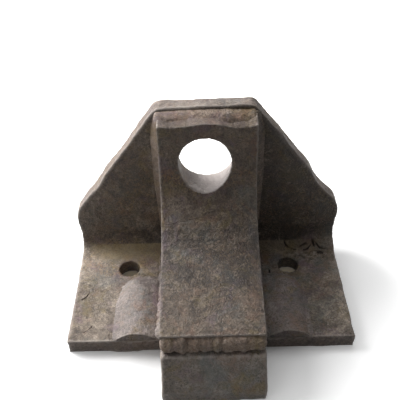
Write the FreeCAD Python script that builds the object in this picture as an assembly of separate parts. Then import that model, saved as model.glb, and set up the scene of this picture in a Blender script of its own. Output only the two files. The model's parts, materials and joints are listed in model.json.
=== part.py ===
import FreeCAD, Part
import math
import os

# Weld-on bucket tooth: a bent wing plate carries a hollow nose made of a
# folded strap, two cheeks and a wedge point. All sizes are in millimetres.
# Origin: midway between the two bolt holes, on the underside of the base.
# +X is to the right along the bolt line, +Y towards the upright back, +Z up.

# ---- wing plate: one bent plate, base and upright back ----
plate_thickness = 16.0
base_width = 280.0
base_reach = 96.0           # bolt line to the front edge of the base
back_height = 195.0         # underside to the top edge of the back
top_width = 96.0
wing_flare = 3.5            # wing tip beyond the base's side edge
wing_tip_height = 63.5
base_edge_height = 26.0     # where the side edge starts to flare to the tip
wing_tip_round = 12.0
top_corner_round = 5.0
fold_radius = 19.0          # inside of the bend

# ---- bolt holes ----
bolt_spacing = 172.0
bolt_hole_diameter = 22.0   # clearance for M20
bolt_setback = 36.5         # bolt line to the front face of the back

# ---- nose strap ----
nose_offset = 2.0           # the nose is welded on a little right of centre
strap_width = 96.0
strap_thickness = 16.0
strap_top_drop = 10.0       # top of the back to the front edge of the strap's upper end
strap_knee_rise = 72.0      # base's top face to where the strap's two front faces would meet
strap_lean = 5.0            # degrees, upper leg's front face off the vertical
strap_slope = 11.0          # degrees, lower leg off the horizontal
strap_bend_radius = 80.0    # front, hollow side of the bend
strap_reach = 126.0         # bolt line to the end of the lower leg
strap_end_bevel = 22.0      # degrees, slope of the flame-cut upper end
strap_gap = 0.4             # upper leg's flat back face to the back plate

# ---- eye ----
eye_diameter = 52.0
eye_drop = 41.0             # strap's upper end to the eye's middle
eye_offset = -4.0           # burnt a little left of the nose's middle
eye_lip = 5.0               # thick part of the upper leg below the eye

# ---- cheeks and the socket between them ----
cheek_thickness = 10.0
cheek_inset = 6.0           # cheek face inside the strap's edge
window_above_eye = 31.0     # eye's middle to the window's upper edge
window_round = 10.0

# ---- wedge point ----
point_root = 86.0           # bolt line to the rear face of the point
point_reach = 153.0         # bolt line to the tip
point_nose_rise = 6.0       # blunt tip above the base's top face
point_tip_round = 5.0

# ---- side ribs ----
rib_width = 34.0
rib_height = 12.0
rib_start = 34.0            # bolt line to the straight stretch of the rib
rib_front_gap = 3.0         # rib end to the front edge of the base

# ---- welds ----
root_weld_leg = 17.0
root_weld_hollow = 6.8      # its hollow face's lowest line, out from both its corners
wing_weld_leg = 7.0
wing_weld_depth = 15.0
seam_weld_leg = 5.0
rib_weld_leg = 6.0
top_weld_leg = 9.0
top_weld_rise = 3.0         # bead above the strap's upper end, at the back
window_weld_leg = 3.0
window_weld_reach = 8.0
front_weld_leg = 12.0
point_weld_leg = 9.0
point_weld_inset = 1.5      # bead's face inside the strap end's two edges

# ---- worked out from the sizes above ----
base_top = plate_thickness
wing_half = base_width / 2 + wing_flare
strap_top_height = back_height - strap_top_drop
strap_knee_height = base_top + strap_knee_rise
eye_height = strap_top_height - eye_drop
window_bottom = base_top + fold_radius
window_top = eye_height + window_above_eye
eye_x = nose_offset + eye_offset
thick_bottom = eye_height - eye_diameter / 2 - eye_lip
point_nose_height = base_top + point_nose_rise
back_front = bolt_setback
strap_back = back_front - strap_gap
back_rear = bolt_setback + plate_thickness
base_front = -base_reach
strap_left = nose_offset - strap_width / 2
strap_half = strap_width / 2
cheek_out = strap_half - cheek_inset
cheek_in = cheek_out - cheek_thickness
lean = math.radians(strap_lean)
slope = math.radians(strap_slope)
far = 1000.0                # longer than anything here, for cutting tools
slack = 1.0                 # run-through of the cutting tools
parallel = 0.999            # cosine above which an edge counts as parallel


def prism_x(points, start, length):
    """Solid from (y, z) points, running along +X from start."""
    wire = Part.makePolygon([FreeCAD.Vector(start, y, z) for y, z in points + points[:1]])
    return Part.Face(wire).extrude(FreeCAD.Vector(length, 0, 0))


def prism_y(points, start, length):
    """Solid from (x, z) points, running along +Y from start."""
    wire = Part.makePolygon([FreeCAD.Vector(x, start, z) for x, z in points + points[:1]])
    return Part.Face(wire).extrude(FreeCAD.Vector(0, length, 0))


def prism_z(points, start, length):
    """Solid from (x, y) points, running along +Z from start."""
    wire = Part.makePolygon([FreeCAD.Vector(x, y, start) for x, y in points + points[:1]])
    return Part.Face(wire).extrude(FreeCAD.Vector(0, 0, length))


def block(x0, y0, z0, x1, y1, z1):
    return Part.makeBox(x1 - x0, y1 - y0, z1 - z0, FreeCAD.Vector(x0, y0, z0))


def edges_along(shape, direction, test):
    """Straight edges parallel to a direction whose middle passes the test."""
    chosen = []
    for edge in shape.Edges:
        if len(edge.Vertexes) != 2:
            continue
        run = edge.Vertexes[1].Point.sub(edge.Vertexes[0].Point)
        if run.Length > 0 and abs(run.dot(direction)) > parallel * run.Length and test(edge.CenterOfMass):
            chosen.append(edge)
    return chosen


def at_side(side, x):
    """X of a place x away from the nose's middle; side is -1 left, +1 right."""
    return nose_offset + side * x


def only_solid(shape):
    """The one solid of a result, or its largest when a cut left slivers."""
    return max(shape.Solids, key=lambda solid: solid.Volume)


# ---------------------------------------------------------------- wing plate

def plate_section():
    """The bent plate's side view, base and back in one, with its two arcs."""
    outer = fold_radius + plate_thickness
    centre_y = back_front - fold_radius
    centre_z = base_top + fold_radius
    mid = math.sqrt(0.5)

    def at(y, z):
        return FreeCAD.Vector(-wing_half - slack, y, z)

    inner_mid = at(centre_y + fold_radius * mid, centre_z - fold_radius * mid)
    outer_mid = at(centre_y + outer * mid, centre_z - outer * mid)
    edges = [
        Part.makeLine(at(base_front, 0), at(centre_y, 0)),
        Part.Arc(at(centre_y, 0), outer_mid, at(back_rear, centre_z)).toShape(),
        Part.makeLine(at(back_rear, centre_z), at(back_rear, back_height)),
        Part.makeLine(at(back_rear, back_height), at(back_front, back_height)),
        Part.makeLine(at(back_front, back_height), at(back_front, centre_z)),
        Part.Arc(at(back_front, centre_z), inner_mid, at(centre_y, base_top)).toShape(),
        Part.makeLine(at(centre_y, base_top), at(base_front, base_top)),
        Part.makeLine(at(base_front, base_top), at(base_front, 0)),
    ]
    return Part.Face(Part.Wire(edges)).extrude(FreeCAD.Vector(2 * (wing_half + slack), 0, 0))


def plate_outline():
    """The plate's front view: square base, flared wing tips, sloped shoulders."""
    right = [
        (base_width / 2, -slack),
        (base_width / 2, base_edge_height),
        (wing_half, wing_tip_height),
        (top_width / 2, back_height + slack),
    ]
    left = [(-x, z) for x, z in reversed(right)]
    solid = prism_y(right + left, base_front - slack, back_rear - base_front + 2 * slack)
    along = FreeCAD.Vector(0, 1, 0)
    tips = edges_along(solid, along, lambda p: abs(p.z - wing_tip_height) < slack)
    return solid.makeFillet(wing_tip_round, tips)


def bolt_holes():
    holes = []
    for side in (-1, 1):
        place = FreeCAD.Vector(side * bolt_spacing / 2, 0, -slack)
        holes.append(Part.makeCylinder(bolt_hole_diameter / 2, plate_thickness + 2 * slack, place))
    return Part.makeCompound(holes)


def socket_window():
    """Opening in the back, as wide as the socket between the cheeks."""
    tool = block(
        at_side(-1, cheek_in), back_front - slack, window_bottom,
        at_side(1, cheek_in), back_rear + slack, window_top,
    )
    corners = edges_along(tool, FreeCAD.Vector(0, 1, 0), lambda p: True)
    return tool.makeFillet(window_round, corners)


def make_wing_plate():
    plate = plate_section().common(plate_outline())
    top = edges_along(plate, FreeCAD.Vector(0, 1, 0), lambda p: p.z > back_height - slack)
    plate = plate.makeFillet(top_corner_round, top)
    plate = plate.cut(bolt_holes())
    plate = plate.cut(socket_window())
    return only_solid(plate)


# --------------------------------------------------------------- nose strap

down = (-math.sin(lean), -math.cos(lean))            # along the upper leg
forward = (-math.cos(slope), -math.sin(slope))       # along the lower leg
out_upper = (-math.cos(lean), math.sin(lean))        # off the upper leg's front face
out_lower = (-math.sin(slope), math.cos(slope))      # off the lower leg's top face
end_rise = strap_thickness * math.tan(math.radians(strap_end_bevel) + lean)
top_front_y = back_front - strap_gap - strap_thickness * math.cos(lean) - end_rise * math.tan(lean)
knee_y = top_front_y - (strap_top_height - strap_knee_height) * math.tan(lean)
half_turn = (math.pi / 2 - lean - slope) / 2
tangent = strap_bend_radius * math.tan(half_turn)


def shift(point, direction, distance):
    return (point[0] + direction[0] * distance, point[1] + direction[1] * distance)


knee = (knee_y, strap_knee_height)
bend_start = shift(knee, down, -tangent)
bend_end = shift(knee, forward, tangent)
bend_centre = shift(bend_start, out_upper, strap_bend_radius)


def strap_face_points(depth):
    """Upper end, bend start, bend middle, bend end and front end of a line
    that runs depth below the strap's front face."""
    top_y = top_front_y + depth * math.cos(lean)
    top = (top_y + depth * math.sin(lean) * math.tan(lean), strap_top_height)
    start = shift(bend_start, out_upper, -depth)
    end = shift(bend_end, out_lower, -depth)
    reach = strap_bend_radius + depth
    away = math.hypot(knee[0] - bend_centre[0], knee[1] - bend_centre[1])
    ray = ((knee[0] - bend_centre[0]) / away, (knee[1] - bend_centre[1]) / away)
    middle = shift(bend_centre, ray, reach)
    run = (end[0] + strap_reach) / math.cos(slope)
    front = shift(end, forward, run)
    return top, start, middle, end, front


def strap_band(depth_out, depth_in, x_start, width, rise):
    """Solid between two depths below the strap's front face, all along it."""
    outer = strap_face_points(depth_out)
    inner = strap_face_points(depth_in)

    def at(point):
        return FreeCAD.Vector(x_start, point[0], point[1])

    top_outer = shift(outer[0], down, -rise)
    top_inner = shift(inner[0], down, -rise)
    edges = [
        Part.makeLine(at(top_outer), at(outer[1])),
        Part.Arc(at(outer[1]), at(outer[2]), at(outer[3])).toShape(),
        Part.makeLine(at(outer[3]), at(outer[4])),
        Part.makeLine(at(outer[4]), at(inner[4])),
        Part.makeLine(at(inner[4]), at(inner[3])),
        Part.Arc(at(inner[3]), at(inner[2]), at(inner[1])).toShape(),
        Part.makeLine(at(inner[1]), at(top_inner)),
        Part.makeLine(at(top_inner), at(top_outer)),
    ]
    return Part.Face(Part.Wire(edges)).extrude(FreeCAD.Vector(width, 0, 0))


def upper_end_cut():
    """Everything above the strap's flame-cut upper end."""
    rise = math.tan(math.radians(strap_end_bevel))
    low_y = top_front_y - far
    high_y = top_front_y + far
    points = [
        (low_y, strap_top_height - far * rise),
        (high_y, strap_top_height + far * rise),
        (high_y, strap_top_height + far),
        (low_y, strap_top_height + far),
    ]
    return prism_x(points, -far, 2 * far)


def eye_bore():
    place = FreeCAD.Vector(eye_x, -far, eye_height)
    return Part.makeCylinder(eye_diameter / 2, 2 * far, place, FreeCAD.Vector(0, 1, 0))


def flat_back():
    """Wedge that makes the upper leg's back face upright, down to below the eye."""
    core = strap_face_points(strap_thickness / 2)
    points = [
        (strap_back, strap_top_height + strap_thickness),
        (strap_back, thick_bottom),
        core[2],
        core[1],
        (core[0][0], strap_top_height + strap_thickness),
    ]
    return prism_x(points, strap_left, strap_width)


def make_nose_strap():
    strap = strap_band(0, strap_thickness, strap_left, strap_width, strap_thickness)
    strap = strap.fuse(flat_back()).removeSplitter()
    strap = strap.cut(upper_end_cut())
    strap = strap.cut(eye_bore())
    return only_solid(strap)


# ------------------------------------------------------------------- cheeks

def under_strap():
    """Space below and behind the strap, back to the wing plate."""
    under = strap_face_points(strap_thickness)

    def at(point):
        return FreeCAD.Vector(-far, point[0], point[1])

    back_top = (back_rear, strap_top_height)
    back_low = (back_rear, 0.0)
    front_low = (under[4][0], 0.0)
    edges = [
        Part.makeLine(at(under[0]), at(under[1])),
        Part.Arc(at(under[1]), at(under[2]), at(under[3])).toShape(),
        Part.makeLine(at(under[3]), at(under[4])),
        Part.makeLine(at(under[4]), at(front_low)),
        Part.makeLine(at(front_low), at(back_low)),
        Part.makeLine(at(back_low), at(back_top)),
        Part.makeLine(at(back_top), at(under[0])),
    ]
    return Part.Face(Part.Wire(edges)).extrude(FreeCAD.Vector(2 * far, 0, 0))


def make_cheek(side, wing_plate, nose_strap):
    x0, x1 = sorted((at_side(side, cheek_in), at_side(side, cheek_out)))
    slab = block(x0, -point_root, 0, x1, back_front, thick_bottom)
    cheek = slab.common(under_strap())
    return only_solid(cheek.cut(wing_plate).cut(nose_strap))


# -------------------------------------------------------------- wedge point

def make_tooth_point(nose_strap, wing_plate):
    under = strap_face_points(strap_thickness)
    top = strap_face_points(0)
    run = point_root + under[3][0]
    root_top = shift(under[3], forward, run / math.cos(slope))
    side_view = [
        (-point_root, 0.0),
        (-point_reach + point_tip_round, 0.0),
        (-point_reach, point_tip_round),
        (-point_reach, point_nose_height - point_tip_round),
        (-point_reach + point_tip_round, point_nose_height),
        (top[4][0] - point_weld_leg / 2, top[4][1] - strap_thickness / 2),
        (top[4][0], under[4][1]),
        root_top,
    ]
    tongue = prism_x(side_view, at_side(-1, cheek_out), 2 * cheek_out)
    head = prism_x(side_view, strap_left, strap_width)
    head = head.common(block(-far, -far, -far, far, -strap_reach, far))
    point = tongue.fuse(head).removeSplitter()
    point = point.cut(wing_plate).cut(nose_strap)
    return only_solid(point)


# ---------------------------------------------------------------- side ribs

rib_radius = ((rib_width / 2) ** 2 + rib_height ** 2) / (2 * rib_height)
rib_middle = cheek_out + root_weld_leg + rib_width / 2
rib_axis_height = base_top + rib_height - rib_radius


def make_rib(side):
    """Half-round bar with a ball end, lying along the base beside the nose."""
    x = at_side(side, rib_middle)
    front = base_front + rib_front_gap
    back = -rib_start
    place = FreeCAD.Vector(x, front, rib_axis_height)
    bar = Part.makeCylinder(rib_radius, back - front, place, FreeCAD.Vector(0, 1, 0))
    ball = Part.makeSphere(rib_radius, FreeCAD.Vector(x, back, rib_axis_height))
    rib = bar.fuse(ball).removeSplitter()
    return only_solid(rib.common(block(-far, -far, base_top, far, far, far)))


# -------------------------------------------------------------------- welds

def make_root_weld(side, wing_plate, point):
    """Fillet between a cheek's foot and the base."""
    toe = root_weld_leg
    points = [
        (at_side(side, cheek_out), base_top),
        (at_side(side, cheek_out + toe), base_top),
        (at_side(side, cheek_out + root_weld_hollow), base_top + root_weld_hollow),
        (at_side(side, cheek_out), base_top + toe),
    ]
    bead = prism_y(points, base_front, back_front - base_front)
    return only_solid(bead.cut(wing_plate).cut(point))


def make_wing_weld(side, neighbours):
    """Fillet that ties the strap's edge and the cheek to the back."""
    points = [
        (at_side(side, cheek_out), back_front),
        (at_side(side, strap_half + wing_weld_leg), back_front),
        (at_side(side, strap_half), back_front - wing_weld_depth),
        (at_side(side, cheek_out), back_front - wing_weld_depth),
    ]
    bead = prism_z(points, base_top, strap_top_height - base_top)
    for neighbour in neighbours:
        bead = bead.cut(neighbour)
    return only_solid(bead)


def make_seam_weld(side, nose_strap, cheek, wing_weld, root_weld):
    """Fillet under the strap's overhang, along the cheek's upper edge."""
    x0, x1 = sorted((at_side(side, cheek_out), at_side(side, cheek_out + seam_weld_leg)))
    bead = strap_band(strap_thickness, strap_thickness + seam_weld_leg, x0, x1 - x0, 0)
    bead = bead.common(block(-far, -far, 0, far, back_front, thick_bottom))
    for neighbour in (nose_strap, cheek, wing_weld, root_weld):
        bead = bead.cut(neighbour)
    return only_solid(bead)


def make_rib_weld(side, rib):
    """Fillet along the rib's outer toe."""
    inner = rib_middle
    outer = rib_middle + rib_width / 2
    points = [
        (at_side(side, inner), base_top),
        (at_side(side, outer + rib_weld_leg), base_top),
        (at_side(side, outer - rib_weld_leg / 2), base_top + rib_weld_leg),
        (at_side(side, inner), base_top + rib_weld_leg),
    ]
    front = base_front + rib_front_gap
    bead = prism_y(points, front, -rib_start - front)
    return only_solid(bead.cut(rib))


def make_top_weld(nose_strap, wing_plate):
    """Bead in the corner between the strap's upper end and the back."""
    rise = math.tan(math.radians(strap_end_bevel))
    foot = strap_top_height + (back_front - top_front_y) * rise
    points = [
        (back_front, foot - top_weld_leg),
        (back_front, foot + top_weld_rise),
        (back_front - top_weld_leg / 2, foot + top_weld_rise / 2),
        (back_front - top_weld_leg, foot - top_weld_leg * rise),
        (back_front - top_weld_leg, foot - top_weld_leg),
    ]
    bead = prism_x(points, strap_left, strap_width)
    return only_solid(bead.cut(nose_strap).cut(wing_plate))


def make_window_weld(nose_strap, wing_plate):
    """Bead inside the window, between its upper edge and the strap's back face."""
    half = cheek_in - window_round
    points = [
        (strap_back, window_top),
        (strap_back, window_top - window_weld_leg),
        (strap_back + window_weld_reach, window_top),
    ]
    bead = prism_x(points, at_side(-1, half), 2 * half)
    return only_solid(bead.cut(nose_strap).cut(wing_plate))


def make_point_weld(nose_strap, point):
    """Bead across the nose where the strap's front end meets the point."""
    end = strap_face_points(0)[4]
    low = strap_face_points(strap_thickness)[4]
    points = [
        (end[0], end[1] - point_weld_inset),
        (end[0] - point_weld_leg, low[1] + point_weld_inset),
        (end[0] - point_weld_leg, low[1] - point_weld_leg),
        (end[0], low[1] - point_weld_leg),
    ]
    bead = prism_x(points, strap_left, strap_width)
    return only_solid(bead.cut(nose_strap).cut(point))


def make_front_weld(side, point):
    """Upright fillet between the base's front edge and the side of the point."""
    points = [
        (at_side(side, cheek_out), base_front),
        (at_side(side, cheek_out + front_weld_leg), base_front),
        (at_side(side, cheek_out), base_front - front_weld_leg),
    ]
    bead = prism_z(points, 0, plate_thickness)
    return only_solid(bead.cut(point))


# ----------------------------------------------------------------- assembly

def build():
    nodes = {}
    plate = nodes["wing_plate"] = make_wing_plate()
    strap = nodes["nose_strap"] = make_nose_strap()
    point = nodes["tooth_point"] = make_tooth_point(strap, plate)
    top = nodes["top_weld"] = make_top_weld(strap, plate)
    for side, name in ((-1, "left"), (1, "right")):
        cheek = nodes[name + "_cheek"] = make_cheek(side, plate, strap)
        rib = nodes[name + "_rib"] = make_rib(side)
        root = nodes[name + "_root_weld"] = make_root_weld(side, plate, point)
        wing = nodes[name + "_wing_weld"] = make_wing_weld(side, (plate, strap, cheek, root, top))
        nodes[name + "_seam_weld"] = make_seam_weld(side, strap, cheek, wing, root)
        nodes[name + "_rib_weld"] = make_rib_weld(side, rib)
        nodes[name + "_front_weld"] = make_front_weld(side, point)
    nodes["window_weld"] = make_window_weld(strap, plate)
    nodes["point_weld"] = make_point_weld(strap, point)
    return nodes


os.makedirs("parts", exist_ok=True)
for node, solid in build().items():
    solid.exportStep("parts/" + node + ".step")
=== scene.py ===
# Looks for a weld-on bucket tooth: a bent wing plate with a hollow strap nose.
# Metres throughout. +X right along the bolt line, +Y to the upright back, +Z up.
import json
import math

import bpy
import numpy as np
from mathutils import Matrix, Vector


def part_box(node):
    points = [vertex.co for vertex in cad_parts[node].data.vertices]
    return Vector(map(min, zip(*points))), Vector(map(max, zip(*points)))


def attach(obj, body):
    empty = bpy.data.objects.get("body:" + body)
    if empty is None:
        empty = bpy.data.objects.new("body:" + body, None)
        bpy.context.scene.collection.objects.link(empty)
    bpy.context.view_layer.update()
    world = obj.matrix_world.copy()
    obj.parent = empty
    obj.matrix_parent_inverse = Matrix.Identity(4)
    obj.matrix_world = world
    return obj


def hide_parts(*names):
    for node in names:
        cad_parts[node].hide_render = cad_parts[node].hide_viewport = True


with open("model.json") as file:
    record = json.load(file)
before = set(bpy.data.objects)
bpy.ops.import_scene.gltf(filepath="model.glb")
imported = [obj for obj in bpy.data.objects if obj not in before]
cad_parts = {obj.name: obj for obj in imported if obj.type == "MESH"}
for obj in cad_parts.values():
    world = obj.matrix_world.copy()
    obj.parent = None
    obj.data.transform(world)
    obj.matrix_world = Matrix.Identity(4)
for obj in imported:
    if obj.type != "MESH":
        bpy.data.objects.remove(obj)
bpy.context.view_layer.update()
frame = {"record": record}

MM = 0.001
NEAR = 0.4 * MM                      # how close a place has to be to count as the same
FACING = 0.9                         # how squarely a face has to point a way to count
FAR = 1.0                            # well past every side of the part, for cutting tools
SIDES = ((-1, "left"), (1, "right"))

# ---- sizes the pieces share with the design ----
PLATE = 16 * MM                      # thickness of the plate and of the strap
BASE_WIDTH = 280 * MM
FOLD_RADIUS = 19 * MM                # inside of the plate's fold
TIP_HEIGHT = 63.5 * MM               # the wing tips above the underside
TOP_WIDTH = 96 * MM                  # the upright's straight upper edge
WINDOW_RISE = 31 * MM                # the window's upper edge above the eye's centre
WINDOW_ROUND = 10 * MM
STRAP_LEAN = math.radians(5)         # how far the strap's upper leg leans back
STRAP_SLOPE = math.radians(11)       # how far its lower leg falls towards the front
STRAP_BEND = 80 * MM                 # radius of its front face in the bend
STRAP_LEG = 80 * MM                  # its upper leg past the bend, before the end is burnt off
KNEE_RISE = 72 * MM                  # where the lines of its two legs meet, above the base
STRAP_TOP_DROP = 10 * MM             # its upper end below the upright's
STRAP_END_BEVEL = math.radians(22)
STRAP_GAP = 0.4 * MM                 # between the strap and the upright
THICK_BELOW_EYE = 5 * MM             # the strap's thick back goes this far below the eye,
THICK_LAP = 2.6 * MM                 # starts this far behind the front edge of its upper end,
THICK_TOP = 210 * MM                 # goes up past that end, and is burnt off with it,
THICK_RUNOUT = (0, -24 * MM, -14 * MM)   # and runs out forward and down into the bar
POINT_TIP_RISE = 22 * MM             # upper corner of the point's worn tip

# ---- what the torch and years of use have done to the plain sizes ----
TIP_ROUND = 10 * MM
TOP_ROUND = 5 * MM
RIGHT_TIP_RISE = 3.5 * MM            # the right tip was cut higher than the left
TOP_RISE = 2.5 * MM                  # the upper edge was cut a little higher at its right end
SCOOP_RADIUS = 95 * MM               # shallow scoops in the sloped edges:
EDGE_SCOOPS = ((-1, 104 * MM, 1.6 * MM), (1, 97 * MM, 0.6 * MM))   # side, height and depth
EYE_STRETCH = 1.085                  # the burnt eye is this much taller than round,
EYE_FRONT_WIDTH = 0.96               # this much narrower at its front
EYE_REAR_WIDTH = 1.07                # and wider at its rear,
EYE_DRIFT = 2.5 * MM                 # where it also runs off to the right

# how far the strap's burnt end rises or falls along its front edge: (x, rise) in millimetres
STRAP_END_WAVE = (
    (-45, 1.0), (-32, -0.5), (-18, 1.0), (-3, 3.0), (12, 2.4), (29, -2.4), (41, -1.5), (49, 0.4),
)

# cracks in the base's upper face: places (x, y) and a width, in millimetres
PLATE_CRACKS = (
    (((-118, -77.5), (-119.5, -80), (-121.5, -82), (-125, -84.5)), 1.5),
    (((-125.5, -30), (-126.2, -35), (-128.7, -39.5), (-133, -42)), 0.9),
    (((65, -8), (66.5, -18), (69.5, -29)), 1.3),
    (((85, 31), (87, 27), (91, 24), (97, 21.5)), 1.3),
    (((103.5, 26), (109, 28.5)), 1.4),
    (((107, 21), (110.5, 22.5), (114, 26.5)), 1.1),
    (((117, 31), (118.5, 25)), 1.3),
    (((114, 18), (119.5, 19.5)), 1.2),
    (((121, 28), (124.5, 23.5), (129.5, 22)), 1.6),
    (((121.5, 19), (126, 15.5)), 1.2),
)
CRACK_DEPTH = 5 * MM

# how much painted shade darkens the strap at a place along it: (y in millimetres, share)
STRAP_PAINTED_SHADE = (
    (-92, 0.5), (-80, 0.85), (-66, 1.1), (-45, 1.05), (-26, 0.7), (-12, 0.36), (5, 0.24),
)

# spots of pits, rust, and painted shade with some dirt: the middle of each and its reach each way, in
# millimetres
CORNER_PITS = ((108, 17, 20), (34, 17, 14))
LEFT_FOLD_RUST = ((-104, 14, 16), (56, 34, 52))
LEFT_WING_RUST = ((-80, 36, 110), (70, 20, 90))
RIGHT_WING_RUST = ((96, 36, 70), (60, 20, 60))
LEFT_BASE_SHADE_AND_DIRT = ((-112, -25, 16), (50, 45, 20))
BELOW_EYE_RUST = ((-4, 10, 132), (52, 40, 24))

mounts = {mount["name"]: mount for mount in frame["record"]["mounts"]}
HOLE_RADIUS = mounts["bolt_holes"]["dims"]["hole_r_mm"] * MM
HOLE_SPACING = mounts["bolt_holes"]["dims"]["spacing_x_mm"] * MM
EYE_RADIUS = mounts["eye"]["dims"]["r_mm"] * MM
EYE = Vector(mounts["eye"]["pos_m"])

plate_lo, plate_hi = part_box("wing_plate")
strap_lo, strap_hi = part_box("nose_strap")
cheek_lo, cheek_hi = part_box("right_cheek")
point_lo, point_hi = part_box("tooth_point")
NOSE_X = (strap_lo.x + strap_hi.x) / 2
BACK_FRONT = plate_hi.y - PLATE      # front face of the upright
FOLD_Y = BACK_FRONT - FOLD_RADIUS    # centre of the fold
FOLD_Z = PLATE + FOLD_RADIUS
WINDOW_TOP = EYE.z + WINDOW_RISE
THICK_BOTTOM = EYE.z - EYE_RADIUS - THICK_BELOW_EYE


# ------------------------------------------------------------ small helpers

def new_piece(name, primitive, **place):
    """A primitive with its place and size already in its mesh."""
    bpy.ops.object.select_all(action="DESELECT")
    primitive(**place)
    piece = bpy.context.object
    piece.name = piece.data.name = name
    bpy.ops.object.transform_apply(location=True, rotation=True, scale=True)
    return piece


def block(name, lo, hi):
    lo, hi = Vector(lo), Vector(hi)
    return new_piece(name, bpy.ops.mesh.primitive_cube_add, size=1, location=(lo + hi) / 2, scale=hi - lo)


def use(piece):
    bpy.ops.object.select_all(action="DESELECT")
    piece.select_set(True)
    bpy.context.view_layer.objects.active = piece


def pick_faces(piece, test):
    """Opens a piece for editing with the faces selected whose middle and normal pass a test."""
    use(piece)
    bpy.ops.object.mode_set(mode="EDIT")
    bpy.ops.mesh.select_mode(type="FACE")
    bpy.ops.mesh.select_all(action="DESELECT")
    bpy.ops.object.mode_set(mode="OBJECT")
    for face in piece.data.polygons:
        face.select = bool(test(face.center, face.normal))
    bpy.ops.object.mode_set(mode="EDIT")


def pick_points(piece, test):
    """Opens a piece for editing with the points selected whose place passes a test."""
    use(piece)
    bpy.ops.object.mode_set(mode="EDIT")
    bpy.ops.mesh.select_mode(type="VERT")
    bpy.ops.mesh.select_all(action="DESELECT")
    bpy.ops.object.mode_set(mode="OBJECT")
    for point in piece.data.vertices:
        point.select = bool(test(point.co))
    bpy.ops.object.mode_set(mode="EDIT")


def pick_edges(piece, test):
    """Opens a piece for editing with the edges selected whose two ends pass a test."""
    use(piece)
    bpy.ops.object.mode_set(mode="EDIT")
    bpy.ops.mesh.select_mode(type="EDGE")
    bpy.ops.mesh.select_all(action="DESELECT")
    bpy.ops.object.mode_set(mode="OBJECT")
    points = piece.data.vertices
    for edge in piece.data.edges:
        edge.select = bool(test(points[edge.vertices[0]].co, points[edge.vertices[1]].co))
    bpy.ops.object.mode_set(mode="EDIT")


def close_edit():
    bpy.ops.object.mode_set(mode="OBJECT")


def extrude(step):
    bpy.ops.mesh.extrude_region_move(TRANSFORM_OT_translate={"value": step})


def clean(piece):
    """Drops inner faces and doubles, and turns every face outwards."""
    use(piece)
    bpy.ops.object.mode_set(mode="EDIT")
    bpy.ops.mesh.select_mode(type="FACE")
    bpy.ops.mesh.select_all(action="DESELECT")
    bpy.ops.mesh.select_interior_faces()
    bpy.ops.mesh.delete(type="FACE")
    bpy.ops.mesh.select_all(action="SELECT")
    bpy.ops.mesh.remove_doubles(threshold=0.01 * MM)
    bpy.ops.mesh.normals_make_consistent(inside=False)
    bpy.ops.object.mode_set(mode="OBJECT")


def finish_with(piece, kind, **settings):
    """Adds a modifier with its settings and applies it."""
    use(piece)
    step = piece.modifiers.new(kind.lower(), kind)
    for key, value in settings.items():
        setattr(step, key, value)
    bpy.ops.object.modifier_apply(modifier=step.name)


def cut_away(piece, tool):
    finish_with(piece, "BOOLEAN", operation="DIFFERENCE", solver="EXACT", object=tool)
    bpy.data.objects.remove(tool)


def slice_off(piece, at, off):
    """Cuts a piece through at a plane, throws away what lies past it and closes the cut."""
    pick_faces(piece, lambda middle, normal: True)
    bpy.ops.mesh.bisect(plane_co=at, plane_no=off, use_fill=True, clear_outer=True)
    close_edit()


def join(pieces, name):
    """Makes several pieces one, named for what they are."""
    bpy.ops.object.select_all(action="DESELECT")
    for piece in pieces:
        piece.select_set(True)
    bpy.context.view_layer.objects.active = pieces[0]
    bpy.ops.object.join()
    whole = bpy.context.object
    whole.name = whole.data.name = name
    return whole


def even_mesh(piece, size):
    """Rebuilds the surface as even small faces, which also rounds every edge by about that size."""
    finish_with(piece, "REMESH", mode="VOXEL", voxel_size=size, use_smooth_shade=True)


def lumps(piece, name, size, depth, height, group=""):
    """Moves the surface in and out by a seeded cloud pattern of a real size."""
    pattern = bpy.data.textures.new(name, "CLOUDS")
    pattern.noise_scale = size
    pattern.noise_depth = depth
    finish_with(
        piece, "DISPLACE", texture=pattern, texture_coords="LOCAL", strength=height,
        mid_level=0.5, vertex_group=group,
    )


def rest_on_floor(piece):
    """Rubs the underside flat where it would dip below the floor."""
    low = 0.3 * MM
    pick_points(piece, lambda at: at.z < low)
    bpy.ops.transform.resize(value=(1, 1, 0), center_override=(0, 0, 0))
    close_edit()


def surface(piece):
    """Places and normals of a piece's points, as arrays."""
    count = len(piece.data.vertices)
    place, normal = np.empty(count * 3), np.empty(count * 3)
    piece.data.vertices.foreach_get("co", place)
    piece.data.vertices.foreach_get("normal", normal)
    return place.reshape(-1, 3), normal.reshape(-1, 3)


def fade(value, start, end):
    """0 before a start, 1 past an end, and straight between them; the start may be the higher."""
    return np.clip((value - start) / (end - start), 0, 1)


def near_spot(place, spot):
    """1 inside a spot, falling to 0 at its reach."""
    middle, reach = np.array(spot) * MM
    away = np.linalg.norm((place - middle) / reach, axis=1)
    return np.clip(1.6 * (1 - away), 0, 1)


def weigh(piece, name, weights):
    """Stores a weight per point as a vertex group, in even steps."""
    group = piece.vertex_groups.new(name=name)
    levels = 20
    steps = np.round(np.clip(weights, 0, 1) * levels).astype(int)
    for level in range(1, levels + 1):
        chosen = np.nonzero(steps == level)[0].tolist()
        if chosen:
            group.add(chosen, level / levels, "REPLACE")
    return name


def store(piece, name, values):
    """Keeps one number from 0 to 1 per point, for the material to read."""
    layer = piece.data.attributes.new(name, "FLOAT", "POINT")
    layer.data.foreach_set("value", np.clip(values, 0, 1).astype(np.float32))


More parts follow.
